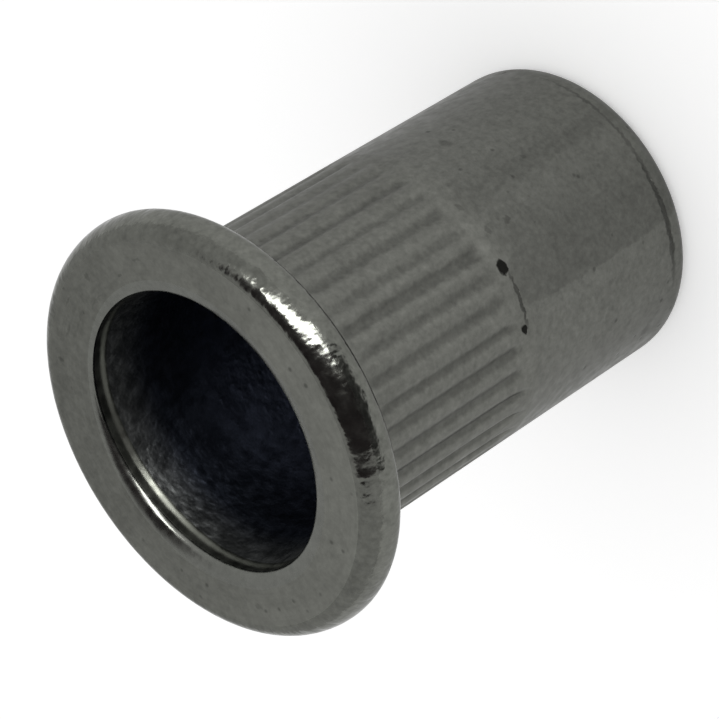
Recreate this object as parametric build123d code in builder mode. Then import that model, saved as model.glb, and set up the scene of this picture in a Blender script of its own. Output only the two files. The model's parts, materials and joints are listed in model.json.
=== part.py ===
from build123d import *
import math
import os

# Open-end rivet nut for an M8 screw: flat round head, straight knurl, plain threaded end.
#
# The nut is one cold-formed piece.  It stands on the plain end of its shank, head up, on the
# Z axis, with its origin at the middle of the end face.  All sizes are in millimetres.

# ---------------------------------------------------------------- driving dimensions
# Overall
overall_length = 18.5        # end face to head face
shank_diameter = 11.0        # plain part of the shank, which fits the hole in the sheet

# Head
head_diameter = 15.0         # widest point of the rounded rim
head_thickness = 1.5         # head face to the seat that lies on the sheet
rim_drop = 1.0               # head face down to the widest point of the rim
rim_width = 0.7              # how far the front rounding of the rim reaches in over the face
neck_chamfer = 0.2           # fills the corner between the seat and the shank

# Mouth of the hole in the head
mouth_diameter = 9.8         # short land just inside the mouth
mouth_land_depth = 0.63      # head face down to the ledge at the end of the land
mouth_lip_radius = 0.4       # rounding between the land and the bevel round it
mouth_bevel_width = 0.15     # shallow bevel between the lip and the head face
mouth_bevel_drop = 0.03

# Bore that folds when the nut is set
bore_diameter = 9.36         # thin-walled part behind the land
bore_edge_chamfer = 0.15     # broken edge where the ledge turns into the bore
bore_depth = 9.6             # head face down to the start of the cone
bore_cone_angle = 45.0       # slope of the cone between bore and thread, in degrees

# Thread, M8 x 1.25, modelled as a plain hole at its minor diameter
thread_major_diameter = 8.0
thread_pitch = 1.25
end_countersink_clearance = 0.1   # countersink at the end face is this much wider in radius

# End of the shank
end_round_height = 0.75      # how far the rounding reaches up the shank
end_round_inset = 0.55       # how far the rounding reaches in over the end face

# Straight knurl, whose ridges are flush with the plain shank
knurl_count = 38             # flutes round the shank
knurl_turn = -1.7            # first flute, from the +X side, in degrees
knurl_neck = 0.8             # plain neck between the seat and the knurl
knurl_length = 7.45          # along the shank, tips included
flute_depth = 0.15           # shank surface to flute floor
flute_floor_width = 0.1
flute_flank_angle = 50.0     # each flank, measured from the radius, in degrees
flute_tip_length = 0.7       # where a flute runs out to nothing at each end

# Flute cutter
cutter_overlap = 0.3         # how far it stands out beyond the shank
tip_clearance = 0.02         # between its two ends and the shank

# ---------------------------------------------------------------- derived sizes
shank_radius = shank_diameter / 2
head_radius = head_diameter / 2
mouth_radius = mouth_diameter / 2
bore_radius = bore_diameter / 2

# An ISO thread leaves five eighths of the height of its 60 degree triangle on each side.
thread_triangle_height = thread_pitch * math.cos(math.radians(30.0))
thread_minor_radius = thread_major_diameter / 2 - thread_triangle_height * 5 / 8
countersink_radius = thread_major_diameter / 2 + end_countersink_clearance
countersink_depth = countersink_radius - thread_minor_radius

face_z = overall_length
seat_z = face_z - head_thickness
widest_z = face_z - rim_drop
rim_back_radius = head_thickness - rim_drop
face_edge_radius = head_radius - rim_width

lip_z = face_z - mouth_bevel_drop
lip_edge_radius = mouth_radius + mouth_lip_radius
mouth_edge_radius = lip_edge_radius + mouth_bevel_width
ledge_z = face_z - mouth_land_depth
cone_top_z = face_z - bore_depth
cone_height = (bore_radius - thread_minor_radius) / math.tan(math.radians(bore_cone_angle))
thread_top_z = cone_top_z - cone_height

end_face_radius = shank_radius - end_round_inset

knurl_top_z = seat_z - knurl_neck
knurl_bottom_z = knurl_top_z - knurl_length


# ---------------------------------------------------------------- one flute of the knurl
def flute_outline(floor_radius: float) -> list[tuple[float, float]]:
    """Corners of the trapezoid of one flute across the +X side of the shank.

    Its floor lies at floor_radius, and its flanks open at the flank angle from there out.
    """
    height = flute_depth + cutter_overlap
    floor_half = flute_floor_width / 2
    outer_half = floor_half + height * math.tan(math.radians(flute_flank_angle))
    return [
        (floor_radius, -floor_half),
        (floor_radius + height, -outer_half),
        (floor_radius + height, outer_half),
        (floor_radius, floor_half),
    ]


flute_floor_radius = shank_radius - flute_depth
# At its two ends the section has moved out until its floor just clears the shank.
tip_floor_radius = shank_radius + tip_clearance

with BuildPart() as flute_cutter:
    with BuildSketch(Plane.XY.offset(knurl_bottom_z)) as lower_tip:
        Polygon(*flute_outline(tip_floor_radius), align=None)
    with BuildSketch(Plane.XY.offset(knurl_bottom_z + flute_tip_length)) as lower_section:
        Polygon(*flute_outline(flute_floor_radius), align=None)
    with BuildSketch(Plane.XY.offset(knurl_top_z - flute_tip_length)) as upper_section:
        Polygon(*flute_outline(flute_floor_radius), align=None)
    with BuildSketch(Plane.XY.offset(knurl_top_z)) as upper_tip:
        Polygon(*flute_outline(tip_floor_radius), align=None)
    loft([lower_tip.sketch, lower_section.sketch])
    loft([lower_section.sketch, upper_section.sketch])
    loft([upper_section.sketch, upper_tip.sketch])

# ---------------------------------------------------------------- the nut
with BuildPart() as nut_body:
    # Half section through the axis, turned once round
    with BuildSketch(Plane.XZ):
        with BuildLine():
            # Flat face, then the rim, whose front is a quarter of an ellipse
            Line((mouth_edge_radius, face_z), (face_edge_radius, face_z))
            EllipticalCenterArc((face_edge_radius, widest_z), rim_width, rim_drop)
            RadiusArc((head_radius, widest_z), (head_radius - rim_back_radius, seat_z), rim_back_radius)
            # Seat, neck and the plain side of the shank
            Polyline(
                (head_radius - rim_back_radius, seat_z),
                (shank_radius + neck_chamfer, seat_z),
                (shank_radius, seat_z - neck_chamfer),
                (shank_radius, end_round_height),
            )
            # Rounded end of the shank, again a quarter of an ellipse
            EllipticalCenterArc(
                (end_face_radius, end_round_height), end_round_inset, end_round_height, start_angle=-90
            )
            # End face, countersink, thread, cone, bore, ledge and land
            Polyline(
                (end_face_radius, 0),
                (countersink_radius, 0),
                (thread_minor_radius, countersink_depth),
                (thread_minor_radius, thread_top_z),
                (bore_radius, cone_top_z),
                (bore_radius, ledge_z - bore_edge_chamfer),
                (bore_radius + bore_edge_chamfer, ledge_z),
                (mouth_radius, ledge_z),
                (mouth_radius, lip_z - mouth_lip_radius),
            )
            # Rounded lip of the mouth and the bevel round it
            RadiusArc(
                (mouth_radius, lip_z - mouth_lip_radius), (lip_edge_radius, lip_z), mouth_lip_radius
            )
            Line((lip_edge_radius, lip_z), (mouth_edge_radius, face_z))
        make_face()
    revolve(axis=Axis.Z)

    # Flutes all round, which leave the ridges of the knurl between them
    with PolarLocations(0, knurl_count, start_angle=knurl_turn):
        add(flute_cutter.part, mode=Mode.SUBTRACT)

nut_body.part.label = "nut_body"

os.makedirs("parts", exist_ok=True)
export_step(nut_body.part, "parts/nut_body.step")
print("nut_body", nut_body.part.volume, nut_body.part.bounding_box())
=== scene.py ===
"""Studio scene of an open-end rivet nut: one cold-formed steel piece on a pale floor.

The nut stands on the plain end of its shank with its head up, on the Z axis of the frame.
The classes follow the work: sections of the nut, the mesh made from them, the finish of each
region of the steel, and the studio around it.  Sizes are in millimetres until the mesh is
written, which turns them into the metres of the frame.  Angles are in degrees in the fields
of the classes, and in radians in the arrays that their methods pass on.
"""

import json
import logging
import math
from dataclasses import dataclass, field
from enum import Enum

import bpy
import numpy as np
from mathutils import Matrix, Vector

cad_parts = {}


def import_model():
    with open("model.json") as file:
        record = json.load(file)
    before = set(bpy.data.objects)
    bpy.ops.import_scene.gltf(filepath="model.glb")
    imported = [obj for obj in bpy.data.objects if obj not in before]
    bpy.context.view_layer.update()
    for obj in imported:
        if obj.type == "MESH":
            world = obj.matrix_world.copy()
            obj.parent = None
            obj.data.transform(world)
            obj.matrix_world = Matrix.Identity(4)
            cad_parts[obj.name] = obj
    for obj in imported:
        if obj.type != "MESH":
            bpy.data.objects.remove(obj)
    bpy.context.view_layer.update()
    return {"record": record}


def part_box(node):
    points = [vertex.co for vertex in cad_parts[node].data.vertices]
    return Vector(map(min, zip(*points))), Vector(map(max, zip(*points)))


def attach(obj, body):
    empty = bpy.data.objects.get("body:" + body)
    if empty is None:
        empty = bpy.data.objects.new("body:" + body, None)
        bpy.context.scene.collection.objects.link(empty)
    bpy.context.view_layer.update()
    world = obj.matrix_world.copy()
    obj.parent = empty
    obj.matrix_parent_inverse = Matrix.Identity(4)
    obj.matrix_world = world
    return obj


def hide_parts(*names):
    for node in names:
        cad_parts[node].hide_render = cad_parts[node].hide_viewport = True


MM = 0.001                      # one millimetre in the metres of the frame
NODE = "nut_body"
FULL_TURN = 2.0 * math.pi

Pair = tuple[float, float]              # such as a point of the section: radius and height
Triple = tuple[float, float, float]
Colour = tuple[float, float, float, float]
Socket = bpy.types.NodeSocket
Value = Socket | float | tuple          # what feeds a node: an output of another, or a number

log = logging.getLogger("rivet_nut")


# ---------------------------------------------------------------------------- sizes
@dataclass
class NutSizes:
    """Sizes of the nut in millimetres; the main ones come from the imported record."""

    length: float
    head_radius: float
    shank_radius: float
    bore_radius: float
    thread_minor_radius: float
    seat_z: float

    # Head
    rim_drop: float = 1.0           # face down to the widest point of the rim
    rim_width: float = 0.7          # edge of the flat face, inside the rim
    neck_fillet: float = 0.2        # corner between the seat and the shank

    # Mouth
    mouth_radius: float = 4.9
    lip_radius: float = 0.32        # tight rounding of the mouth
    lip_turn: float = 65.0          # degrees that it turns from the land
    bevel_radius: float = 1.6       # gentle rounding from there to the face
    bevel_turn: float = 80.0        # degrees from the land at which it meets the face
    land_depth: float = 0.585       # face down to the end of the land
    step_width: float = 0.085       # steep step behind the land
    step_height: float = 0.28
    draw_depth: float = 2.6         # face down to where the wall behind the step is straight

    # Bore, cone and thread
    bore_depth: float = 9.6
    thread_major_radius: float = 4.0
    thread_pitch: float = 1.25
    countersink_radius: float = 4.1
    cone_ring: float = 0.1          # plain ring of the cone, above the thread's end in it

    # Shank
    end_height: float = 0.75        # rounding of the end, up the shank
    end_inset: float = 0.55         # and in over the end face
    end_ring: float = 0.1           # plain ring of the end face round the countersink
    knurl_count: int = 38
    knurl_turn: float = -1.7        # first flute, from the +X side, in degrees
    knurl_neck: float = 0.8         # plain neck between the seat and the flutes
    knurl_length: float = 7.7
    knurl_foot: float = 0.3         # band below the flutes that is finished like them
    flute_depth: float = 0.11
    flute_tip: float = 1.0          # where a flute runs out to nothing at each end

    @classmethod
    def from_frame(cls, record: dict) -> "NutSizes":
        """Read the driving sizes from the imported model.

        Args:
            record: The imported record, with its mounts.

        Returns:
            The sizes of this nut.
        """
        low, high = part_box(NODE)
        mounts = {m["name"]: m for m in record["mounts"]}
        return cls(
            length=(high.z - low.z) / MM,
            head_radius=high.x / MM,
            shank_radius=mounts["shank"]["dims"]["r_mm"],
            bore_radius=mounts["folding_bore"]["dims"]["r_mm"],
            thread_minor_radius=mounts["thread"]["dims"]["r_mm"],
            seat_z=mounts["seat"]["pos_m"][2] / MM,
        )

    @property
    def lip_size(self) -> Pair:
        """Width and height of the mouth's rounding, from the land out to the flat face.

        A rounding of radius R that turns from the angle t to the angle u is R (cos t - cos u)
        wide and R (sin u - sin t) high.

        Returns:
            Width and height of the lip and the bevel together.
        """
        turn = math.radians(self.lip_turn)
        flat = math.radians(self.bevel_turn)
        lip, bevel = self.lip_radius, self.bevel_radius
        width = lip * (1.0 - math.cos(turn)) + bevel * (math.cos(turn) - math.cos(flat))
        height = lip * math.sin(turn) + bevel * (math.sin(flat) - math.sin(turn))
        return width, height

    @property
    def opening_radius(self) -> float:
        """Radius at which the mouth's rounding meets the flat face."""
        return self.mouth_radius + self.lip_size[0]

    @property
    def widest_z(self) -> float:
        """Height of the widest point of the rim."""
        return self.length - self.rim_drop

    @property
    def rim_back(self) -> float:
        """Radius of the rim's rounding behind its widest point."""
        return self.widest_z - self.seat_z

    @property
    def drawn_z(self) -> float:
        """Height from which the wall of the bore is drawn in towards the step."""
        return self.length - self.draw_depth

    @property
    def cone_top_z(self) -> float:
        """Height where the bore ends and the cone towards the thread begins."""
        return self.length - self.bore_depth

    @property
    def knurl_top_z(self) -> float:
        """Height of the knurl's upper end."""
        return self.seat_z - self.knurl_neck

    @property
    def knurl_bottom_z(self) -> float:
        """Height of the knurl's lower end."""
        return self.knurl_top_z - self.knurl_length


class Region(Enum):
    """Regions of the surface, each with a finish of its own."""

    FACE = 0
    RIM = 1
    LIP = 2
    LAND = 3
    SHANK = 4
    KNURL = 5
    BORE = 6
    THREAD = 7


# ---------------------------------------------------------------------------- sections
@dataclass
class Strip:
    """A band of the section: points (radius, height) in order, and the region they lie in."""

    region: Region
    points: np.ndarray


@dataclass(frozen=True)
class Spans:
    """Numbers of mesh spans along each part of the section, and of columns round it."""

    wall: int = 5
    drawn_wall: int = 8
    step: int = 8
    land: int = 2
    lip: int = 20
    lip_start: int = 3              # spans of the lip that still have the land's finish
    bevel: int = 8
    face: int = 6
    rim_front: int = 26
    rim_back: int = 8
    seat: int = 2
    fillet: int = 5
    neck: int = 3
    flute_top: int = 8
    flute_middle: int = 4
    flute_foot: int = 16
    plain: int = 4
    end_round: int = 12
    end_face: int = 2
    cone: int = 4
    flute_columns: int = 16         # across one flute; inside the mouth it is half as many


def line(start: Pair, end: Pair, steps: int) -> np.ndarray:
    """Points evenly spaced on a straight line: start + t (end - start), t from 0 to 1.

    Args:
        start: First point, as (radius, height).
        end: Last point.
        steps: Number of spans.

    Returns:
        Array of steps + 1 points.
    """
    t = np.linspace(0.0, 1.0, steps + 1)[:, None]
    return np.asarray(start) + t * (np.asarray(end) - np.asarray(start))


def arc(centre: Pair, semi: Pair, angles: Pair, steps: int) -> np.ndarray:
    """Points on an ellipse: centre + (a cos t, b sin t), t running between the two angles.

    Args:
        centre: Centre, as (radius, height).
        semi: Half widths (a, b) along the radius and along the height.
        angles: First and last angle, in degrees.
        steps: Number of spans.

    Returns:
        Array of steps + 1 points.
    """
    t = np.radians(np.linspace(angles[0], angles[1], steps + 1))
    return np.stack([centre[0] + semi[0] * np.cos(t), centre[1] + semi[1] * np.sin(t)], axis=1)


def chain(*parts: np.ndarray) -> np.ndarray:
    """Join point lists end to end, dropping the shared first point of each later list."""
    return np.concatenate([parts[0]] + [part[1:] for part in parts[1:]])


@dataclass
class NutSection:
    """The half section of the nut, as strips from the mouth outwards and down the shank."""

    sizes: NutSizes
    spans: Spans

    def mouth(self) -> list[Strip]:
        """Bore wall, steep step, land and lip, from the inside up to the flat face.

        The step is half a wave: with t from 0 to 1 up its height, it has moved out by its
        width times (1 - cos(pi t)) / 2.

        Returns:
            The wall, then the step with the land, then the lip with the bevel.
        """
        s, n = self.sizes, self.spans
        land_z = s.length - s.land_depth
        step_z = land_z - s.step_height
        lip_z = s.length - s.lip_size[1]
        mouth, behind = s.mouth_radius, s.mouth_radius - s.step_width
        wall = chain(
            line((s.bore_radius, s.cone_top_z), (s.bore_radius, s.drawn_z), n.wall),
            line((s.bore_radius, s.drawn_z), (behind, step_z), n.drawn_wall),
        )
        rise = np.linspace(0.0, 1.0, n.step + 1)
        swing = (1.0 - np.cos(math.pi * rise)) / 2.0
        step = np.stack([behind + swing * s.step_width, step_z + rise * s.step_height], axis=1)
        land = line((mouth, land_z), (mouth, lip_z), n.land)
        lip = arc((mouth + s.lip_radius, lip_z), (s.lip_radius, s.lip_radius),
                  (180.0, 180.0 - s.lip_turn), n.lip)
        flat = math.radians(s.bevel_turn)
        centre = (s.opening_radius + s.bevel_radius * math.cos(flat),
                  s.length - s.bevel_radius * math.sin(flat))
        bevel = arc(centre, (s.bevel_radius, s.bevel_radius),
                    (180.0 - s.lip_turn, 180.0 - s.bevel_turn), n.bevel)
        return [Strip(Region.BORE, wall),
                Strip(Region.LAND, chain(step, land, lip[:n.lip_start + 1])),
                Strip(Region.LIP, chain(lip[n.lip_start:], bevel))]

    def head(self) -> list[Strip]:
        """Flat face, rim and seat, out to the foot of the neck's fillet.

        Returns:
            The face, the rim, and the seat with the fillet.
        """
        s, n = self.sizes, self.spans
        face_edge = s.head_radius - s.rim_width
        back_r = s.head_radius - s.rim_back
        neck_r = s.shank_radius + s.neck_fillet
        face = line((s.opening_radius, s.length), (face_edge, s.length), n.face)
        rim = chain(
            arc((face_edge, s.widest_z), (s.rim_width, s.rim_drop), (90.0, 0.0), n.rim_front),
            arc((back_r, s.widest_z), (s.rim_back, s.rim_back), (0.0, -90.0), n.rim_back),
        )
        seat = chain(
            line((back_r, s.seat_z), (neck_r, s.seat_z), n.seat),
            arc((neck_r, s.seat_z - s.neck_fillet), (s.neck_fillet, s.neck_fillet),
                (90.0, 180.0), n.fillet),
        )
        return [Strip(Region.FACE, face), Strip(Region.RIM, rim), Strip(Region.SHANK, seat)]

    def shank(self) -> list[Strip]:
        """Neck, band of the knurl, plain shank, rounded end and end face.

        Returns:
            The neck, the knurl, the plain shank, and the rounded end with the end face.
        """
        s, n = self.sizes, self.spans
        r, top, bottom = s.shank_radius, s.knurl_top_z, s.knurl_bottom_z
        foot = bottom - s.knurl_foot
        neck = line((r, s.seat_z - s.neck_fillet), (r, top), n.neck)
        knurl = chain(
            line((r, top), (r, top - s.flute_tip), n.flute_top),
            line((r, top - s.flute_tip), (r, bottom + s.flute_tip), n.flute_middle),
            line((r, bottom + s.flute_tip), (r, foot), n.flute_foot),
        )
        plain = line((r, foot), (r, s.end_height), n.plain)
        end = chain(
            arc((r - s.end_inset, s.end_height), (s.end_inset, s.end_height),
                (0.0, -90.0), n.end_round),
            line((r - s.end_inset, 0.0), (s.countersink_radius + s.end_ring, 0.0), n.end_face),
        )
        return [Strip(Region.SHANK, neck), Strip(Region.KNURL, knurl),
                Strip(Region.SHANK, plain), Strip(Region.SHANK, end)]


# ---------------------------------------------------------------------------- knurl
@dataclass
class Knurl:
    """Straight flutes pressed into the shank, with the small differences of real tooling."""

    sizes: NutSizes
    spans: Spans
    seed: int = 7
    shift: float = 0.03             # each flute's offset round the shank, standard deviation
    depth_spread: float = 0.22      # share by which depths differ
    end_spread: float = 0.05        # by which the lower ends differ, standard deviation
    width: float = 0.9
    width_spread: float = 0.14
    narrow: float = 1.4             # power that narrows a flute towards its floor
    flare: float = 0.8              # share by which a flute widens or narrows at its lower end
    flare_towards: float = -75.0    # where it widens most, in degrees; a quarter turn on it narrows
    flare_spread: float = 0.25
    flare_gap: float = 0.3          # from the lower end up to where the flare is full
    flare_length: float = 1.5
    least_width: float = 0.15       # share of the width that the flare always leaves
    lean: float = 0.45              # share by which the flutes are deeper on one side
    lean_towards: float = -170.0    # direction of that side, in degrees

    def columns(self) -> np.ndarray:
        """Evenly spaced angles of the mesh's columns, a whole number of them to a flute.

        Returns:
            Angles in radians, in rising order.
        """
        count = self.spans.flute_columns * self.sizes.knurl_count
        return math.radians(self.sizes.knurl_turn) + FULL_TURN * np.arange(count) / count

    def cut(self, angle: np.ndarray, height: np.ndarray) -> np.ndarray:
        """Depth of the flutes below the ridge tops.

        With x the distance round the shank from the flute's middle and w half of its width,
        the depth is d(z) ((1 + cos(pi x / w)) / 2) to the power n inside the flute.  At each
        end t runs from 0 to 1 along the tip, and d(z) is d (1 + cos(pi t)) / 2.  Above the
        lower end u runs from 0 to 1 along the flare, and w grows or shrinks by the flare times
        u u.  With a the flute's angle, d leans by cos(a - towards), and the flare goes as
        cos 2(a - towards).

        Args:
            angle: Angles of the columns, in radians.
            height: Heights of the rows.

        Returns:
            Array of depths, rows by columns.
        """
        s, count = self.sizes, self.sizes.knurl_count
        random = np.random.default_rng(self.seed)
        pitch = FULL_TURN / count
        index = np.round((angle - math.radians(s.knurl_turn)) / pitch).astype(int)
        middle = math.radians(s.knurl_turn) + index * pitch
        index %= count
        offset = random.normal(0.0, self.shift, count)[index]
        deeper = random.uniform(-1, 1, count)[index] * self.depth_spread
        end = s.knurl_bottom_z + random.normal(0.0, self.end_spread, count)[index]
        flare = random.uniform(-1, 1, count)[index] * self.flare_spread
        wider = random.uniform(-1, 1, count)[index] * self.width_spread

        depth = s.flute_depth * (1.0 + deeper)
        depth *= 1.0 + self.lean * np.cos(middle - math.radians(self.lean_towards))
        flare += self.flare * np.cos(2.0 * (middle - math.radians(self.flare_towards)))
        x = (angle - middle) * s.shank_radius - offset
        z = height[:, None]
        upper = np.clip(1.0 - (s.knurl_top_z - z) / s.flute_tip, 0.0, 1.0)
        lower = np.clip(1.0 - (z - end) / s.flute_tip, 0.0, 1.0)
        flared = np.clip(1.0 - (z - end - self.flare_gap) / self.flare_length, 0.0, 1.0)
        half = self.width * (1.0 + wider) / 2.0
        half = half * np.maximum(1.0 + flare * flared**2, self.least_width)
        share = (1.0 + np.cos(math.pi * upper)) * (1.0 + np.cos(math.pi * lower)) / 4.0
        across = np.clip(np.abs(x) / half, 0.0, 1.0)
        return depth * share * ((1.0 + np.cos(math.pi * across)) / 2.0) ** self.narrow


@dataclass
class MouthWave:
    """Unevenness of the mouth, which the punch left a little oval and off the axis."""

    wider: float = -0.02
    oval: float = 0.08              # half of the difference between its widths
    offset: float = 0.1             # from the axis of the nut
    towards: float = 15.0           # direction of the offset, from +X towards +Y, in degrees
    side_lift: float = 0.2          # by which the step lies higher at the two sides
    side_width: float = 0.1         # by which it is wider there
    side_towards: float = 8.0       # direction of one side, in degrees; the other is opposite
    tight: float = 0.6              # share by which the lip is smaller on its tight side
    tight_inset: float = 0.13       # by which the edge stands in there
    tight_lift: float = 0.1         # by which the step lies higher there
    tight_towards: float = 42.0     # direction of the tight side, in degrees

    def reach(self, angle: np.ndarray) -> np.ndarray:
        """Distance by which the edge stands out.

        It is wider + oval cos 2a + offset cos(a - towards), less the inset of the tight side.

        Args:
            angle: Angles of the columns, in radians.

        Returns:
            Distance at each column.
        """
        turned = angle - math.radians(self.towards)
        even = self.wider + self.oval * np.cos(2.0 * angle) + self.offset * np.cos(turned)
        return even - self.tight_inset * self.tightness(angle)

    def sides(self, angle: np.ndarray) -> np.ndarray:
        """Share by which a direction lies at the sides: the square of cos(a - towards)."""
        return np.cos(angle - math.radians(self.side_towards)) ** 2

    def tightness(self, angle: np.ndarray) -> np.ndarray:
        """Share by which a direction lies at the tight side: cos(a - towards) squared, or 0."""
        return np.clip(np.cos(angle - math.radians(self.tight_towards)), 0.0, 1.0) ** 2

    def lift(self, angle: np.ndarray) -> np.ndarray:
        """Distance by which the step lies higher: that of the two sides and the tight side."""
        return self.side_lift * self.sides(angle) + self.tight_lift * self.tightness(angle)

    def shrink(self, angle: np.ndarray) -> np.ndarray:
        """Share by which the lip is smaller than in the section."""
        return self.tight * self.tightness(angle)


# ---------------------------------------------------------------------------- thread
@dataclass
class Thread:
    """Right-hand ISO inside thread between the end face and the cone."""

    sizes: NutSizes
    crest: float = 0.125            # half of the crest's width, as a share of the pitch
    flank: float = 0.3125           # width of a flank, as a share of the pitch
    run_out: float = 0.04           # height above the groove's end in the cone
    # Steps of one turn of the profile, closer at its corners
    phases: tuple[float, ...] = (
        0.0, 0.07, 0.112, 0.138, 0.2, 0.27, 0.34, 0.4, 0.427, 0.45,
        0.5, 0.55, 0.573, 0.6, 0.66, 0.73, 0.8, 0.862, 0.888, 0.93)

    def profile(self, phase: np.ndarray) -> np.ndarray:
        """Radius of the 60 degree profile along one pitch.

        The crest at the minor radius is a quarter pitch wide and the root at the major radius
        an eighth, with straight flanks between: r = minor + (|p| - 1/8) / (5/16) (major - minor).

        Args:
            phase: Position along the pitch, as a share of it.

        Returns:
            Radius at each phase.
        """
        s = self.sizes
        away = np.abs(phase - np.round(phase))
        rise = np.clip((away - self.crest) / self.flank, 0.0, 1.0)
        return s.thread_minor_radius + rise * (s.thread_major_radius - s.thread_minor_radius)

    def surface(self, angle: np.ndarray) -> tuple[np.ndarray, np.ndarray]:
        """Grid of the threaded hole, with its rows along the helix.

        Row w meets the seam at height pitch w, and z = pitch (w + angle / 2 pi), clamped to the
        span of the thread.  The radius is the largest of the thread's profile, the countersink
        at the end face and the cone towards the bore.

        Args:
            angle: Angles of the columns, from 0 to a full turn, both included.

        Returns:
            Radius and height of the grid, rows by columns.
        """
        s = self.sizes
        top = s.cone_top_z - (s.bore_radius - s.thread_major_radius) + self.run_out
        turns = math.ceil(top / s.thread_pitch) + 1
        w = (np.arange(-1, turns)[:, None] + np.array(self.phases)).ravel()[:, None]
        z = np.clip(s.thread_pitch * (w + angle / FULL_TURN), 0.0, top)
        countersink = s.countersink_radius - z
        cone = s.bore_radius - (s.cone_top_z - z)
        r = np.maximum(np.maximum(self.profile(w + 0.0 * angle), countersink), cone)
        r = np.where(z <= 0.0, s.countersink_radius, r)
        r = np.where(z >= top, s.bore_radius - (s.cone_top_z - top), r)
        return r, z


# ---------------------------------------------------------------------------- mesh
@dataclass
class MeshMaker:
    """Collects grids of points and faces and welds them into one closed mesh."""

    weld: float = 1.0e-5            # points that round to the same step, in millimetres, are one
    sharp_angle: float = 34.0       # edges that turn by more are sharp
    points: list[np.ndarray] = field(default_factory=list)
    faces: list[np.ndarray] = field(default_factory=list)
    regions: list[np.ndarray] = field(default_factory=list)
    count: int = 0

    def grid(self, radius: np.ndarray, height: np.ndarray, angle: np.ndarray,
             region: Region, closed: bool = True) -> None:
        """Add the surface (r cos a, r sin a, z) over a grid of rows and columns.

        Args:
            radius: Radius of each point, rows by columns.
            height: Height of each point, rows by columns.
            angle: Angle of each column.
            region: Region that the surface lies in.
            closed: True if the last column joins the first.
        """
        rows, columns = radius.shape
        xyz = np.stack([radius * np.cos(angle), radius * np.sin(angle), height], axis=2)
        here = np.arange(rows * columns).reshape(rows, columns) + self.count
        right = np.roll(here, -1, axis=1) if closed else here[:, 1:]
        left = here if closed else here[:, :-1]
        quads = np.stack([left[:-1], left[1:], right[1:], right[:-1]], axis=2)
        self._add(xyz.reshape(-1, 3), quads.reshape(-1, 4), region)

    def collar(self, fine: np.ndarray, fine_rz: tuple[np.ndarray | float, float],
               coarse_rz: tuple[np.ndarray | float, float], region: Region,
               outwards: bool) -> None:
        """Join a ring to one with half as many columns: a triangle and a quad to each pair.

        Args:
            fine: Angles of the finer ring; the coarser one has every second of them.
            fine_rz: Radius and height of the finer ring; the radius may differ by column.
            coarse_rz: The same of the coarser ring.
            region: Region that the collar lies in.
            outwards: True if the section runs from the coarser ring to the finer one.
        """
        coarse = fine[::2]
        n = len(coarse)
        k = np.arange(n)
        a, b, c = 2 * k, 2 * k + 1, (2 * k + 2) % (2 * n)
        p, q = 2 * n + k, 2 * n + (k + 1) % n
        corner = np.stack([a, p, b, b], axis=1)
        rest = np.stack([b, p, q, c], axis=1)
        quads = np.concatenate([corner, rest]) + self.count
        if outwards:
            quads = quads[:, ::-1]
        rings = [self._ring(fine, *fine_rz), self._ring(coarse, *coarse_rz)]
        self._add(np.concatenate(rings), quads, region)

    def build(self, name: str) -> bpy.types.Object:
        """Weld the collected surfaces and write them to a Blender object.

        Args:
            name: Name of the piece.

        Returns:
            The new object, linked to the scene.
        """
        xyz, loops, corners, regions = self._welded()
        mesh = bpy.data.meshes.new(name)
        mesh.vertices.add(len(xyz))
        mesh.vertices.foreach_set("co", (xyz * MM).astype(np.float32).ravel())
        mesh.loops.add(len(loops))
        mesh.loops.foreach_set("vertex_index", loops.astype(np.int32))
        mesh.polygons.add(len(corners))
        starts = np.concatenate([[0], np.cumsum(corners)[:-1]])
        mesh.polygons.foreach_set("loop_start", starts.astype(np.int32))
        mesh.polygons.foreach_set("material_index", regions.astype(np.int32))
        mesh.polygons.foreach_set("use_smooth", np.ones(len(corners), dtype=bool))
        mesh.update(calc_edges=True)
        mesh.validate()
        mesh.set_sharp_from_angle(angle=math.radians(self.sharp_angle))
        piece = bpy.data.objects.new(name, mesh)
        bpy.context.scene.collection.objects.link(piece)
        return piece

    def _ring(self, angle: np.ndarray, radius: np.ndarray | float, height: float) -> np.ndarray:
        """Points (r cos a, r sin a, z) of one ring."""
        return np.stack([radius * np.cos(angle), radius * np.sin(angle),
                         np.full(len(angle), height)], axis=1)

    def _add(self, xyz: np.ndarray, quads: np.ndarray, region: Region) -> None:
        """Store part of the surface.

        Args:
            xyz: Its points.
            quads: Its faces, as four indices of points to each.
            region: Region that it lies in.
        """
        self.points.append(xyz)
        self.faces.append(quads)
        self.regions.append(np.full(len(quads), region.value))
        self.count += len(xyz)

    def _welded(self) -> tuple[np.ndarray, np.ndarray, np.ndarray, np.ndarray]:
        """Make one of the points that round to the same place, and drop the faces left flat.

        Returns:
            The points, the faces' corners one after another, the number of corners of each
            face, and its region.
        """
        xyz = np.concatenate(self.points)
        quads = np.concatenate(self.faces)
        regions = np.concatenate(self.regions)
        key = np.round(xyz / self.weld).astype(np.int64)
        _, first, back = np.unique(key, axis=0, return_index=True, return_inverse=True)
        quads = back.ravel()[quads]
        kept = quads != np.roll(quads, -1, axis=1)
        corners = kept.sum(axis=1)
        sound = corners >= 3
        return xyz[first], quads[sound][kept[sound]], corners[sound], regions[sound]


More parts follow.
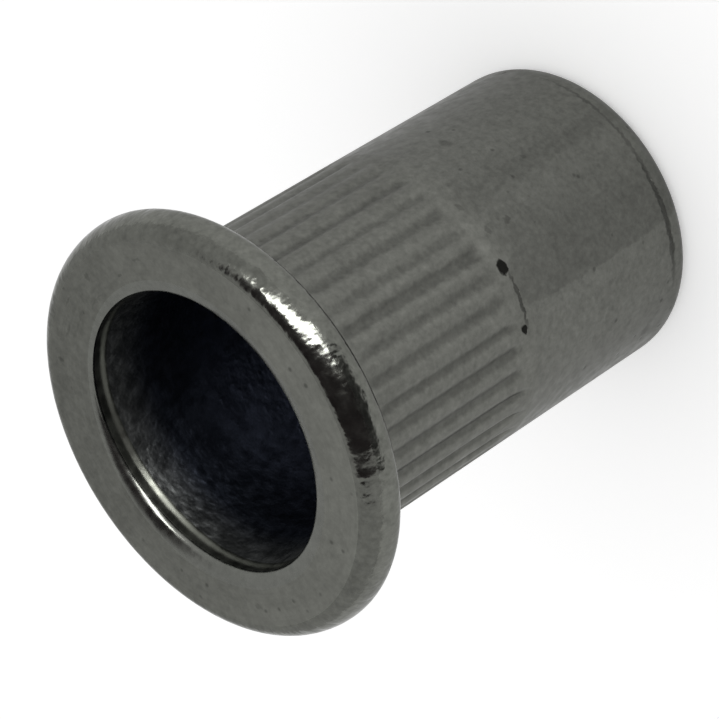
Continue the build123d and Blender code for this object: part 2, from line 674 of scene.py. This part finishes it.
# ---------------------------------------------------------------------------- node graphs
class Graph:
    """A node tree, with short calls for the nodes that the finishes and the room use."""

    def __init__(self, tree: bpy.types.NodeTree) -> None:
        """Take over a tree and empty it."""
        self.tree = tree
        tree.nodes.clear()

    def link(self, value: Value, socket: Socket) -> None:
        """Connect an output to an input, or set a plain value.

        Args:
            value: The output or the value.
            socket: The input.
        """
        if isinstance(value, Socket):
            self.tree.links.new(value, socket)
        else:
            socket.default_value = value

    def node(self, kind: str, *first: Value, inputs: dict[str, Value] | None = None,
             **settings: str | bool) -> bpy.types.Node:
        """Add one node.

        Args:
            kind: Its type, without the words ShaderNode.
            first: What its first inputs take, in order.
            inputs: What other inputs take, by name.
            settings: Its properties, by name.

        Returns:
            The new node.
        """
        node = self.tree.nodes.new("ShaderNode" + kind)
        for name, setting in settings.items():
            setattr(node, name, setting)
        for value, socket in zip(first, node.inputs):
            self.link(value, socket)
        for name, value in (inputs or {}).items():
            self.link(value, node.inputs[name])
        return node

    def math(self, operation: str, *values: Value) -> Socket:
        """One operation on numbers."""
        return self.node("Math", *values, operation=operation).outputs[0]

    def vector(self, operation: str, *values: Value) -> Socket:
        """One operation on vectors, with a vector as its result."""
        return self.node("VectorMath", *values, operation=operation).outputs[0]

    def dot(self, a: Value, b: Value) -> Socket:
        """Dot product of two vectors."""
        return self.node("VectorMath", a, b, operation="DOT_PRODUCT").outputs["Value"]

    def span(self, value: Value, low: float, high: float, to_low: float = 0.0,
             to_high: float = 1.0) -> Socket:
        """Smooth step of a value, held beyond both ends.

        Args:
            value: The value.
            low: Where the step begins.
            high: Where it ends.
            to_low: Result at the beginning.
            to_high: Result at the end.

        Returns:
            The result.
        """
        node = self.node("MapRange", value, low, high, to_low, to_high,
                         interpolation_type="SMOOTHSTEP")
        return node.outputs["Result"]

    def blend(self, share: Value, first: Value, second: Value) -> Socket:
        """Mix of two colours by a share from 0 to 1."""
        inputs = {"Factor": share, "A": first, "B": second}
        return self.node("Mix", inputs=inputs, data_type="RGBA").outputs["Result"]


class SurfaceGraph(Graph):
    """A material's node tree, with its shader, the point on the piece and the patterns on it."""

    def __init__(self, name: str) -> None:
        """Start a material with one Principled shader.

        Args:
            name: Name of the material.
        """
        self.material = bpy.data.materials.new(name)
        self.material.use_nodes = True
        super().__init__(self.material.node_tree)
        self.shader = self.node("BsdfPrincipled")
        self.node("OutputMaterial", self.shader.outputs["BSDF"])

    def shade(self, inputs: dict[str, Value]) -> None:
        """Feed the shader.

        Args:
            inputs: What its inputs take, by name.
        """
        for name, value in inputs.items():
            self.link(value, self.shader.inputs[name])

    def millimetres(self) -> Socket:
        """The point on the piece, in millimetres."""
        return self.vector("MULTIPLY", self.node("TexCoord").outputs["Object"], (1.0 / MM,) * 3)

    def polar(self) -> tuple[Socket, Socket, Socket, Socket]:
        """The point as its direction from the axis, its radius and its height.

        Returns:
            x / r, y / r, r and z.
        """
        x, y, z = self.node("SeparateXYZ", self.millimetres()).outputs
        squares = self.math("ADD", self.math("MULTIPLY", x, x), self.math("MULTIPLY", y, y))
        r = self.math("SQRT", squares)
        return self.math("DIVIDE", x, r), self.math("DIVIDE", y, r), r, z

    def turned(self, round_scale: float, along_scale: float) -> Socket:
        """Coordinates that follow the lathe, so that noise on them has no seam round the nut.

        The vector is (x / r, y / r, 0) times the one scale plus (0, 0, r + z) times the other.

        Args:
            round_scale: Scale round the axis.
            along_scale: Scale to a millimetre outwards and upwards.

        Returns:
            The vector.
        """
        x, y, r, z = self.polar()
        return self.node("CombineXYZ", self.math("MULTIPLY", x, round_scale),
                         self.math("MULTIPLY", y, round_scale),
                         self.math("MULTIPLY", self.math("ADD", r, z), along_scale)).outputs[0]

    def noise(self, where: Socket, scale: float, detail: float = 2.0,
              rough: float = 0.5) -> Socket:
        """Fractal noise, from 0 to 1.

        Args:
            where: The point.
            scale: Cells to a unit.
            detail: Number of finer layers.
            rough: Strength of each layer, as a share of the one before.

        Returns:
            The noise.
        """
        inputs = {"Scale": scale, "Detail": detail, "Roughness": rough}
        return self.node("TexNoise", where, inputs=inputs).outputs[0]

    def cells(self, where: Socket, scale: float) -> Socket:
        """Distance to the nearest of scattered points, in cells."""
        return self.node("TexVoronoi", where, inputs={"Scale": scale}).outputs["Distance"]

    def wander(self, where: Socket, scale: float, reach: float) -> Socket:
        """The point, moved at random by a small distance.

        Args:
            where: The point.
            scale: Cells of the noise to a unit.
            reach: Largest distance in each direction.

        Returns:
            The moved point.
        """
        node = self.node("TexNoise", where, inputs={"Scale": scale, "Detail": 1.0})
        middle = self.vector("SUBTRACT", node.outputs["Color"], (0.5, 0.5, 0.5))
        return self.vector("ADD", where, self.vector("MULTIPLY", middle, (2.0 * reach,) * 3))

    def bump(self, height: Socket, depth: float, normal: Socket | None = None) -> Socket:
        """Bump whose full step is depth millimetres.

        Args:
            height: Height from 0 to 1.
            depth: The full step.
            normal: Bump under this one, if any.

        Returns:
            The new normal.
        """
        inputs = {"Distance": depth * MM, "Height": height}
        if normal is not None:
            inputs["Normal"] = normal
        return self.node("Bump", inputs=inputs).outputs["Normal"]


# ---------------------------------------------------------------------------- finishes
@dataclass(frozen=True)
class Mark:
    """A dark patch on the surface, sunk as a dent where it is strong; some are painted shade and
    painted reflections.
    """

    angle: float                # from +X towards +Y, in degrees
    height: float
    width: float                # half of its width round the nut
    length: float               # half of its length along the nut
    strength: float             # share by which it darkens
    edge: float = 0.7           # softness of its outline
    straight: bool = False      # True for a stripe with straight sides
    radius: float = 5.5         # distance of its middle from the axis
    depth: float = 4.0          # half of its size outwards from the axis

    def patch(self, g: SurfaceGraph, where: Socket) -> Socket:
        """Strength of the mark at a point: full inside its outline, nothing outside.

        In the mark's own frame, in units of its half sizes, the outline is where the sum of
        the squares is 1, or of the fourth powers for a mark with straight sides.

        Args:
            g: Graph of the material.
            where: The point.

        Returns:
            The strength.
        """
        turn = math.radians(self.angle)
        middle = (self.radius * math.cos(turn), self.radius * math.sin(turn), self.height)
        local = g.node("Mapping", where, middle, (0.0, 0.0, turn + math.pi / 2.0),
                       (self.width, self.depth, self.length), vector_type="TEXTURE").outputs[0]
        power = g.vector("MULTIPLY", local, local)
        if self.straight:
            power = g.vector("MULTIPLY", power, power)
        reach = g.dot(power, (1.0, 1.0, 1.0))
        return g.span(reach, 1.0 - self.edge, 1.0 + self.edge, self.strength, 0.0)


@dataclass(frozen=True)
class PaintedDepthTone:
    """Painted shade and painted light along the height: a change of colour, full at the far end."""

    start: float
    end: float
    shares: Triple              # what is left there of red, green and blue


@dataclass(frozen=True)
class SteelFinish:
    """One region's finish of the bare steel, with the light and shade painted into its colour."""

    name: str
    colour: Triple = (0.132, 0.135, 0.121)
    edge_tint: float = 0.75             # how much of its light the steel mirrors at a flat angle
    # Painted light and shade: the lean lightens one side of a region and darkens the other.
    lean: Pair = (0.0, 0.0)             # lightening to a millimetre along +X and +Y
    # Painted shade and light along the height, such as the bore darkening with depth.
    fades: tuple[PaintedDepthTone, ...] = ()
    roughness: float = 0.38
    roughness_spread: float = 0.06
    roughness_scale: float = 2.3        # cells to a millimetre, as for all scales

    # Tones: shares by which each lightens and darkens
    mottle: float = 0.11
    mottle_scale: float = 3.6
    cloud: float = 0.07                 # broad clouding
    cloud_scale: float = 0.55
    speckle: float = 0.06               # fine specks
    speckle_scale: float = 6.0
    ring_tone: float = 0.0              # turning rings

    # Relief: depths in millimetres
    grain: float = 0.003                # fine grain
    grain_scale: float = 6.0
    grain_share: float = 0.6            # part of it that isn't the mottle's
    lumps: float = 0.0                  # soft unevenness
    lump_scale: float = 2.2
    rings: float = 0.0                  # turning rings
    ring_scales: Pair = (1.2, 9.0)      # round the axis and along the section
    streaks: float = 0.0                # marks that run across the rim
    streak_scales: Pair = (11.0, 1.3)

    # Painted shade on the floors of the flutes
    flute_painted_shade: float = 0.0             # share by which they darken
    flute_radii: Pair = (5.385, 5.475)  # dark up to the first radius, plain from the second
    flute_shade_jitter: float = 0.05            # by which the mottle moves these radii

    # Scattered pits
    pits: float = 0.0                   # their depth
    pit_scale: float = 1.6
    pit_size: Pair = (0.06, 0.2)        # floor and edge, in cells
    pit_dark: float = 0.45
    pit_areas: Triple = (0.9, 0.5, 0.6)         # scale of the pitted areas, and their limits

    # Marks: dents and stains, and painted shade and painted reflections
    marks: tuple[Mark, ...] = ()
    mark_wander: Pair = (5.0, 0.12)     # scale and reach of the unevenness of their outlines
    mark_depth: float = 0.06
    mark_sunk: Pair = (0.45, 0.9)       # strengths from which they are sunk, and fully sunk
    # Colour of the marks, for dents and stains and for the painted shade and reflections among
    # them.
    stain_and_painted_shade: Colour = (0.008, 0.008, 0.007, 1.0)

    def make(self) -> bpy.types.Material:
        """Build the finish as a material on object coordinates.

        Returns:
            The material.
        """
        g = SurfaceGraph(self.name)
        where = g.millimetres()
        mottle = g.noise(where, self.mottle_scale, 4.0, 0.6)
        ring = g.noise(g.turned(*self.ring_scales), 1.0, 2.0, 0.6) if self.rings else None
        tone = self._tone(g, where, mottle, ring)
        normal = self._relief(g, where, mottle, ring)
        colour = g.node("VectorMath", self.colour, operation="SCALE",
                        inputs={"Scale": tone}).outputs[0]
        # Painted shade and light along the height.
        for fade in self.fades:
            deep = g.vector("MULTIPLY", colour, fade.shares)
            colour = g.blend(g.span(g.polar()[3], fade.end, fade.start), deep, colour)
        dark = None
        if self.pits:
            pit = self._pits(g, where)
            dark = g.math("MULTIPLY", pit, self.pit_dark)
            normal = g.bump(g.math("SUBTRACT", 1.0, pit), self.pits, normal)
        if self.marks:
            loose = g.wander(where, *self.mark_wander)
            for mark in self.marks:
                patch = mark.patch(g, loose)
                dark = patch if dark is None else g.math("MAXIMUM", dark, patch)
            sunk = g.span(dark, *self.mark_sunk)
            normal = g.bump(g.math("SUBTRACT", 1.0, sunk), self.mark_depth, normal)
        # Pits and marks darken the colour towards that of the marks, which is painted shade and
        # painted reflection for some of them.
        if dark is not None:
            colour = g.blend(dark, colour, self.stain_and_painted_shade)
        rough = g.span(g.noise(where, self.roughness_scale, 3.0), 0.3, 0.7,
                       self.roughness - self.roughness_spread,
                       self.roughness + self.roughness_spread)
        g.shade({"Metallic": 1.0, "Specular Tint": (self.edge_tint,) * 3 + (1.0,),
                 "Base Color": colour, "Roughness": rough, "Normal": normal})
        return g.material

    def _tone(self, g: SurfaceGraph, where: Socket, mottle: Socket,
              ring: Socket | None) -> Socket:
        """Lightness of the steel, as a share of its colour.

        It is 1 plus the swings of mottle, clouds, specks and rings, plus the lean, which is painted
        light and shade, all times the painted shade on the flutes' floors.

        Args:
            g: Graph of the material.
            where: The point on the nut.
            mottle: Noise of the mottle.
            ring: Noise of the turning rings, if the region has them.

        Returns:
            The share.
        """
        swings = [(mottle, self.mottle), (g.noise(where, self.cloud_scale, 2.0), self.cloud),
                  (g.noise(where, self.speckle_scale, 2.0, 0.6), self.speckle)]
        if ring is not None:
            swings.append((ring, self.ring_tone))
        tone = 1.0
        for noise, share in swings:
            swing = g.math("MULTIPLY", g.math("SUBTRACT", noise, 0.5), 4.0 * share)
            tone = g.math("ADD", tone, swing)
        # Painted light and shade: the lean.
        if any(self.lean):
            tone = g.math("ADD", tone, g.dot(where, self.lean + (0.0,)))
        # Painted shade: the floors of the flutes are darkened, and the mottle jitters the edge of
        # that shade.
        if self.flute_painted_shade:
            shade_jitter = g.math("MULTIPLY", g.math("SUBTRACT", mottle, 0.5), self.flute_shade_jitter)
            radius = g.math("ADD", g.polar()[2], shade_jitter)
            floor = g.span(radius, *self.flute_radii, 1.0 - self.flute_painted_shade, 1.0)
            tone = g.math("MULTIPLY", tone, floor)
        return tone

    def _relief(self, g: SurfaceGraph, where: Socket, mottle: Socket,
                ring: Socket | None) -> Socket:
        """Bumps of grain, lumps, rings and streaks, each on the ones before.

        Args:
            g: Graph of the material.
            where: The point on the nut.
            mottle: Noise of the mottle.
            ring: Noise of the turning rings, if the region has them.

        Returns:
            The normal.
        """
        fine = g.noise(where, self.grain_scale, 3.0, 0.6)
        grain = g.math("ADD", g.math("MULTIPLY", fine, self.grain_share),
                       g.math("MULTIPLY", mottle, 1.0 - self.grain_share))
        normal = g.bump(grain, self.grain)
        if self.lumps:
            normal = g.bump(g.noise(where, self.lump_scale, 1.5, 0.5), self.lumps, normal)
        if ring is not None:
            normal = g.bump(ring, self.rings, normal)
        if self.streaks:
            streak = g.noise(g.turned(*self.streak_scales), 1.0, 2.0, 0.6)
            normal = g.bump(streak, self.streaks, normal)
        return normal

    def _pits(self, g: SurfaceGraph, where: Socket) -> Socket:
        """Depth of the scattered pits: 1 on their floors, and 0 between them.

        Args:
            g: Graph of the material.
            where: The point on the nut.

        Returns:
            The depth.
        """
        scale, low, high = self.pit_areas
        pit = g.span(g.cells(where, self.pit_scale), *self.pit_size, 1.0, 0.0)
        return g.math("MULTIPLY", pit, g.span(g.noise(where, scale, 1.0), low, high))


# Dark marks of the shank and the knurl: dents and dark spots, then painted reflections.
SHANK_MARKS_AND_PAINTED_REFLECTIONS = (
    Mark(-95.7, 8.6, 0.27, 0.2, 0.97, 0.4),
    Mark(-118.8, 8.64, 0.17, 0.14, 0.97, 0.4),
    Mark(-108.0, 8.47, 1.0, 0.08, 0.6, 0.8),
    Mark(-103.3, 8.45, 0.12, 0.1, 0.4),
    Mark(-82.3, 8.25, 0.16, 0.1, 0.35),
    Mark(-82.6, 7.3, 0.12, 0.16, 0.45),
    Mark(-70.0, 8.55, 0.2, 0.08, 0.3),
    Mark(-44.0, 6.4, 0.25, 0.18, 0.32),
    Mark(-93.3, 4.4, 0.11, 0.1, 0.33),
    Mark(-66.7, 4.9, 0.1, 0.11, 0.35),
    Mark(-100.0, 5.4, 0.08, 0.12, 0.25),
    Mark(-154.7, 2.0, 0.27, 0.22, 0.32),
    # Painted reflection: a dark line round the near side just above where the end's rounding
    # begins; the stronger mark is also sunk a little as a crease.
    Mark(-109.0, 0.95, 2.4, 0.12, 0.62, 0.85),
    Mark(-86.0, 0.9, 4.6, 0.07, 0.4, 0.8),
    # Painted reflection: long dark stripes down the near side of the shank, for the darker band
    # that it mirrors; they are too weak to be sunk.
    Mark(-102.5, 4.2, 1.06, 4.4, 0.22, 0.2, True),
    Mark(-95.0, 4.2, 1.5, 4.4, 0.16, 0.95, True),
    Mark(-78.0, 4.2, 1.7, 4.4, 0.08, 0.95, True),
    Mark(-68.8, 4.2, 0.4, 4.4, 0.16, 0.8, True),
)

FACE_MARKS = (
    Mark(43.0, 18.5, 0.1, 4.0, 0.35, radius=6.32, depth=0.14),
    Mark(30.0, 18.5, 0.3, 4.0, 0.22, radius=6.1, depth=0.05),
    Mark(20.0, 18.5, 0.24, 4.0, 0.26, radius=6.42, depth=0.05),
    Mark(5.0, 18.5, 0.13, 4.0, 0.3, radius=6.35, depth=0.12),
    Mark(8.0, 18.5, 0.5, 4.0, 0.16, radius=5.55, depth=0.05),
    Mark(24.0, 18.5, 0.7, 4.0, 0.14, radius=5.75, depth=0.05),
    Mark(-10.0, 18.5, 0.12, 4.0, 0.25, radius=5.8, depth=0.08),
    Mark(-21.0, 18.5, 0.2, 4.0, 0.22, radius=6.2, depth=0.07),
    Mark(158.0, 18.5, 0.16, 4.0, 0.16, radius=6.1, depth=0.12),
)

# The lean of each finish is painted light and shade: a tone gradient across the nut for how the
# light falls on it.
FINISHES: dict[Region, SteelFinish] = {
    Region.FACE: SteelFinish(
        "turned_face", colour=(0.152, 0.155, 0.139), rings=0.0012, ring_tone=0.05, pits=0.006,
        mottle=0.15, cloud=0.1, lean=(-0.013, -0.021), marks=FACE_MARKS),
    Region.RIM: SteelFinish(
        "burnished_rim", roughness=0.18, roughness_spread=0.05, grain=0.002, streaks=0.04,
        lumps=0.016, lump_scale=4.5, mottle=0.2, speckle=0.12),
    # Painted sheen: the lip's colour is a little lighter than the face's, for the brighter edge of
    # the mouth.
    Region.LIP: SteelFinish(
        "burnished_lip", colour=(0.158, 0.162, 0.148), roughness=0.24, roughness_spread=0.05,
        grain=0.002, lumps=0.012),
    # Painted shade: the step, the land and the start of the lip are darker than the other steel,
    # and lighter towards the far side by the lean.
    Region.LAND: SteelFinish(
        "drawn_land", colour=(0.09, 0.093, 0.081), lumps=0.006, lean=(0.0, 0.16)),
    Region.SHANK: SteelFinish(
        "plain_shank", colour=(0.129, 0.131, 0.119), pits=0.01, speckle=0.13, mottle=0.16,
        lean=(-0.018, 0.008), marks=SHANK_MARKS_AND_PAINTED_REFLECTIONS),
    # Painted shade on the flutes' floors, and a painted light lean.
    Region.KNURL: SteelFinish(
        "pressed_knurl", colour=(0.136, 0.138, 0.125), roughness=0.46, flute_painted_shade=0.3,
        speckle=0.12, mottle=0.15, lean=(-0.024, 0.002), marks=SHANK_MARKS_AND_PAINTED_REFLECTIONS),
    # Painted light and shade: the bore is lighter towards its far side by the lean; from the mouth
    # down it darkens and turns bluish, then is painted lighter again deeper down.
    Region.BORE: SteelFinish(
        "dark_bore", colour=(0.106, 0.11, 0.108), roughness=0.42, pits=0.006, lumps=0.045,
        lump_scale=3.6, mottle=0.25, lean=(-0.02, 0.17),
        fades=(PaintedDepthTone(17.7, 16.0, (0.24, 0.27, 0.38)), PaintedDepthTone(15.6, 12.6, (2.5, 2.5, 2.6)))),
    Region.THREAD: SteelFinish("cut_thread", colour=(0.1, 0.105, 0.115), roughness=0.35),
}


# ---------------------------------------------------------------------------- the nut
@dataclass
class RivetNut:
    """The whole nut: sections, knurl, thread and mouth, built as one closed mesh."""

    sizes: NutSizes
    section: NutSection
    knurl: Knurl
    wave: MouthWave
    thread: Thread
    name: str = "rivet_nut_steel"

    @classmethod
    def from_sizes(cls, sizes: NutSizes, spans: Spans) -> "RivetNut":
        """The nut of the given sizes, whose mesh has the given spans."""
        return cls(sizes, NutSection(sizes, spans), Knurl(sizes, spans), MouthWave(), Thread(sizes))

    def build(self) -> bpy.types.Object:
        """Build and dress the nut.

        Returns:
            The piece that stands for the solid nut.
        """
        maker = MeshMaker()
        fine = self.knurl.columns()
        self._mouth(maker, fine[::2])
        self._head(maker, fine)
        self._shank(maker, fine)
        self._inside(maker, fine[::2])
        piece = maker.build(self.name)
        for region in Region:
            piece.data.materials.append(FINISHES[region].make())
        mesh = piece.data
        log.info("%s: %d points, %d faces", self.name, len(mesh.vertices), len(mesh.polygons))
        return piece

    def _mouth(self, maker: MeshMaker, angle: np.ndarray) -> None:
        """Turn the bore's wall, the step, the land and the lip, with the wave of the mouth.

        The wave grows from nothing at the cone and is gone at the rim.  The lift of its sides
        grows where the wall is drawn in, and is gone at the face.  Where the lip is smaller,
        its width shrinks towards the land and its rows move up towards the face.

        Args:
            maker: Collects the surface.
            angle: Angles of the columns.
        """
        s, wave = self.sizes, self.wave
        wall, *edges = self.section.mouth()
        reach, lift, smaller = wave.reach(angle), wave.lift(angle), wave.shrink(angle)
        width = wave.side_width * wave.sides(angle)
        z = wall.points[:, 1:]
        rise = np.clip((z - s.cone_top_z) / (z[-1] - s.cone_top_z), 0.0, 1.0)
        drawn = np.clip((z - s.drawn_z) / (z[-1] - s.drawn_z), 0.0, 1.0)
        self._turn(maker, wall, angle, -rise * reach - drawn * width, drawn * lift)
        for edge in edges:
            down = s.length - edge.points[:, 1:]
            out = np.clip(edge.points[:, :1] - s.mouth_radius, 0.0, None)
            share = np.clip(down / s.land_depth, 0.0, 1.0)
            free = np.clip((s.land_depth - down) / (s.land_depth - s.lip_size[1]), 0.0, 1.0)
            self._turn(maker, edge, angle, out * smaller - reach - share * width,
                       share * lift + (1.0 - share) * down * free * smaller)

    def _head(self, maker: MeshMaker, angle: np.ndarray) -> None:
        """Turn the face, whose inner edge follows the mouth, then the rim and the seat.

        Args:
            maker: Collects the surface.
            angle: Angles of the columns.
        """
        s = self.sizes
        face, *others = self.section.head()
        fall = np.linspace(1.0, 0.0, len(face.points))[:, None]
        edge = self.wave.reach(angle) - s.lip_size[0] * self.wave.shrink(angle)
        out = face.points[:, :1] + fall * edge
        # Half of the columns end on the flat face, near the mouth.
        maker.collar(angle, (out[1], s.length), (out[0, ::2], s.length), Region.FACE, True)
        maker.grid(out[1:], np.full_like(out[1:], s.length), angle, Region.FACE)
        for strip in others:
            self._turn(maker, strip, angle)

    def _shank(self, maker: MeshMaker, angle: np.ndarray) -> None:
        """Turn the shank with its flutes, and the end face in to the countersink.

        Args:
            maker: Collects the surface.
            angle: Angles of the columns.
        """
        s = self.sizes
        for strip in self.section.shank():
            flutes = strip.region is Region.KNURL
            cut = self.knurl.cut(angle, strip.points[:, 1]) if flutes else 0.0
            self._turn(maker, strip, angle, cut)
        # On the end face the columns are halved twice.
        outer, between, inner = (s.countersink_radius + share * s.end_ring
                                 for share in (1.0, 0.5, 0.0))
        maker.collar(angle, (outer, 0.0), (between, 0.0), Region.SHANK, False)
        maker.collar(angle[::2], (between, 0.0), (inner, 0.0), Region.SHANK, False)

    def _inside(self, maker: MeshMaker, angle: np.ndarray) -> None:
        """Turn the thread, with half of the columns, and the cone between it and the bore.

        Args:
            maker: Collects the surface.
            angle: Angles of the bore's columns.
        """
        s = self.sizes
        coarse = angle[::2]
        full = np.append(coarse, coarse[0] + FULL_TURN)
        radius, height = self.thread.surface(full - coarse[0])
        maker.grid(radius, height, full, Region.THREAD, closed=False)
        top = (float(radius[-1, 0]), float(height[-1, 0]))
        above = (top[0] + s.cone_ring, top[1] + s.cone_ring)
        maker.collar(angle, above, top, Region.BORE, True)
        cone = line(above, (s.bore_radius, s.cone_top_z), self.section.spans.cone)
        self._turn(maker, Strip(Region.BORE, cone), angle)

    def _turn(self, maker: MeshMaker, strip: Strip, angle: np.ndarray,
              cut: np.ndarray | float = 0.0, lift: np.ndarray | float = 0.0) -> None:
        """Carry a strip of the section round the axis, less the depth of a cut.

        Args:
            maker: Collects the surface.
            strip: Band of the section.
            angle: Angles of the columns.
            cut: Depth below the section at each row and column.
            lift: Height above the section at each row and column.
        """
        radius = np.repeat(strip.points[:, :1], len(angle), axis=1) - cut
        height = np.repeat(strip.points[:, 1:], len(angle), axis=1) + lift
        maker.grid(radius, height, angle, strip.region)


# ---------------------------------------------------------------------------- studio
@dataclass(frozen=True)
class Studio:
    """Floor, light and camera around the nut."""

    # Camera: looks down on the head, rolled so that the shank runs to the upper right
    aim: Triple = (-0.603, 0.0, 11.336)
    distance: float = 120.815
    elevation: float = 37.926
    roll: float = -122.206
    focal_length: float = 182.25
    sensor_width: float = 36.0

    # Room: even white light, dark round the camera for what the nut mirrors
    room_colour: Colour = (0.8, 0.8, 0.8, 1.0)
    dark_colour: Colour = (0.066, 0.056, 0.06, 1.0)
    dark_elevation: float = 50.0
    dark_centre: Pair = (-0.075, -0.05)
    dark_half: Pair = (0.39, 0.72)
    dark_lean: float = 0.2
    dark_edge: float = 0.07         # share of the dark part's size in which it fades

    # Light tube, whose bright line shows on the rim and the mouth
    tube_start: Pair = (44.5, 50.0)             # azimuth from +X towards -Y, and elevation
    tube_end: Pair = (84.0, 1.0)
    tube_distance: float = 150.0
    tube_centre_z: float = 18.0                 # height that these directions are seen from
    tube_width: float = 36.0
    tube_brightness: float = 14.0

    # Floor and dark card: tones, and the glow where the camera and mirrors see them
    floor_half: float = 1500.0
    floor_tone: float = 0.93
    floor_glow: float = 0.33
    card_z: float = 0.2
    card_tone: float = 0.04
    card_glow: float = 0.05
    card_corners: tuple[Pair, ...] = (
        (0.0, -42.0), (-50.0, -42.0), (-1400.0, -1000.0), (0.0, -1400.0))

    def build(self) -> None:
        """Set up the whole studio."""
        bpy.context.scene.view_settings.view_transform = "Standard"
        self.camera()
        self.floor()
        self.card()
        self.room()
        self.tube()
        log.info("studio: camera, floor, card, room and tube")

    def camera(self) -> None:
        """Place the camera at its distance from the point it aims at, and roll it."""
        rise, roll = math.radians(self.elevation), math.radians(self.roll)
        forward = Vector((0.0, math.cos(rise), -math.sin(rise)))
        level_right = Vector((1.0, 0.0, 0.0))
        level_up = level_right.cross(forward)
        right = level_right * math.cos(roll) + level_up * math.sin(roll)
        up = right.cross(forward)
        data = bpy.data.cameras.new("camera")
        data.sensor_width = self.sensor_width
        data.lens = self.focal_length
        data.clip_start = 0.01
        data.clip_end = 10.0
        place = Vector(self.aim) - forward * self.distance
        camera = self._place("camera", data, place, (right, up, -forward))
        bpy.context.scene.camera = camera

    def floor(self) -> None:
        """Lay the pale floor under the nut; only the camera and mirrors see its glow."""
        half = self.floor_half
        floor, graph = self._sheet("floor", ((-half, -half), (half, -half), (half, half),
                                             (-half, half)), 0.0, self.floor_tone)
        rays = graph.node("LightPath").outputs
        seen = graph.math("MAXIMUM", rays["Is Camera Ray"], rays["Is Glossy Ray"])
        graph.shade({"Emission Strength": graph.math("MULTIPLY", seen, self.floor_glow)})

    def card(self) -> None:
        """Lay a dark card on the floor before the nut, which only mirrors see."""
        card, graph = self._sheet("dark_card", self.card_corners, self.card_z, self.card_tone)
        graph.shade({"Emission Strength": self.card_glow})
        card.visible_camera = False
        card.visible_diffuse = False
        card.visible_shadow = False

    def room(self) -> None:
        """Fill the room with even light, and darken what mirrors see round the camera.

        A direction at the angle w from the middle of the dark part lies at tan(w / 2) from the
        centre of a flat map, and the dark part is a leaning ellipse on that map.
        """
        world = bpy.data.worlds.new("room")
        bpy.context.scene.world = world
        world.use_nodes = True
        g = Graph(world.node_tree)
        ray = g.node("TexCoord").outputs["Generated"]
        rise = math.radians(self.dark_elevation)
        middle = (0.0, -math.cos(rise), math.sin(rise))
        upright = (0.0, math.sin(rise), math.cos(rise))
        # A little more than 1 keeps the sum above 0 where a ray runs away from the dark part.
        flatten = g.math("ADD", g.dot(ray, middle), 1.0001)
        map_y = g.math("DIVIDE", g.dot(ray, upright), flatten)
        map_x = g.math("DIVIDE", g.dot(ray, (1.0, 0.0, 0.0)), flatten)
        map_x = g.math("SUBTRACT", map_x, g.math("MULTIPLY", map_y, self.dark_lean))
        squares = []
        for place, centre, half in zip((map_x, map_y), self.dark_centre, self.dark_half):
            share = g.math("DIVIDE", g.math("SUBTRACT", place, centre), half)
            squares.append(g.math("MULTIPLY", share, share))
        reach = g.math("SQRT", g.math("ADD", *squares))
        inside = g.span(reach, 1.0 - self.dark_edge, 1.0 + self.dark_edge, 1.0, 0.0)
        mirrored = g.node("LightPath").outputs["Is Glossy Ray"]
        colour = g.blend(g.math("MULTIPLY", mirrored, inside), self.room_colour, self.dark_colour)
        g.node("OutputWorld", g.node("Background", colour).outputs["Background"])

    def tube(self) -> None:
        """Hang the light tube, as a straight strip that faces the nut."""
        ends = []
        for azimuth, elevation in (self.tube_start, self.tube_end):
            a, e = math.radians(-azimuth), math.radians(elevation)
            way = Vector((math.cos(a) * math.cos(e), math.sin(a) * math.cos(e), math.sin(e)))
            ends.append(way * self.tube_distance)
        first, last = ends
        middle = (first + last) / 2.0
        run = (last - first).normalized()
        inwards = (-middle).normalized()
        inwards = (inwards - run * inwards.dot(run)).normalized()
        lamp = bpy.data.lights.new("tube", "AREA")
        lamp.shape = "RECTANGLE"
        lamp.size = (last - first).length * MM
        lamp.size_y = self.tube_width * MM
        lamp.energy = self.tube_brightness * math.pi * (lamp.size * lamp.size_y)
        place = middle + Vector((0.0, 0.0, self.tube_centre_z))
        tube = self._place("tube", lamp, place, (run, run.cross(inwards), -inwards))
        tube.visible_camera = False
        tube.visible_diffuse = False

    def _sheet(self, name: str, corners: tuple[Pair, ...], z: float,
               tone: float) -> tuple[bpy.types.Object, SurfaceGraph]:
        """Lay a flat matt sheet.

        Args:
            name: Name of the sheet.
            corners: Its corners, as x and y.
            z: Its height.
            tone: Its grey, from 0 to 1.

        Returns:
            The sheet and the graph of its material, whose glow is still to be set.
        """
        mesh = bpy.data.meshes.new(name)
        points = [(x * MM, y * MM, z * MM) for x, y in corners]
        mesh.from_pydata(points, [], [tuple(range(len(points)))])
        graph = SurfaceGraph(name + "_matt")
        graph.shade({"Base Color": (tone, tone, tone, 1.0), "Roughness": 1.0,
                     "Specular IOR Level": 0.0, "Emission Color": (1.0, 1.0, 1.0, 1.0)})
        mesh.materials.append(graph.material)
        sheet = bpy.data.objects.new(name, mesh)
        bpy.context.scene.collection.objects.link(sheet)
        return sheet, graph

    def _place(self, name: str, data: bpy.types.ID, place: Vector,
               axes: tuple[Vector, Vector, Vector]) -> bpy.types.Object:
        """Put a camera or a lamp into the scene.

        Args:
            name: Name of the object.
            data: The camera or the lamp.
            place: Its place, in millimetres.
            axes: Directions of its own X, Y and Z, of which it looks against Z.

        Returns:
            The new object.
        """
        thing = bpy.data.objects.new(name, data)
        turn = Matrix(axes).transposed().to_4x4()
        thing.matrix_world = Matrix.Translation(place * MM) @ turn
        bpy.context.scene.collection.objects.link(thing)
        return thing


def main() -> None:
    """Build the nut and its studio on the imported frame."""
    logging.basicConfig(level=logging.INFO, format="%(name)s: %(message)s")
    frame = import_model()
    nut = RivetNut.from_sizes(NutSizes.from_frame(frame["record"]), Spans()).build()
    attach(nut, "root")
    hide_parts(NODE)
    Studio().build()


if __name__ == "__main__":
    main()
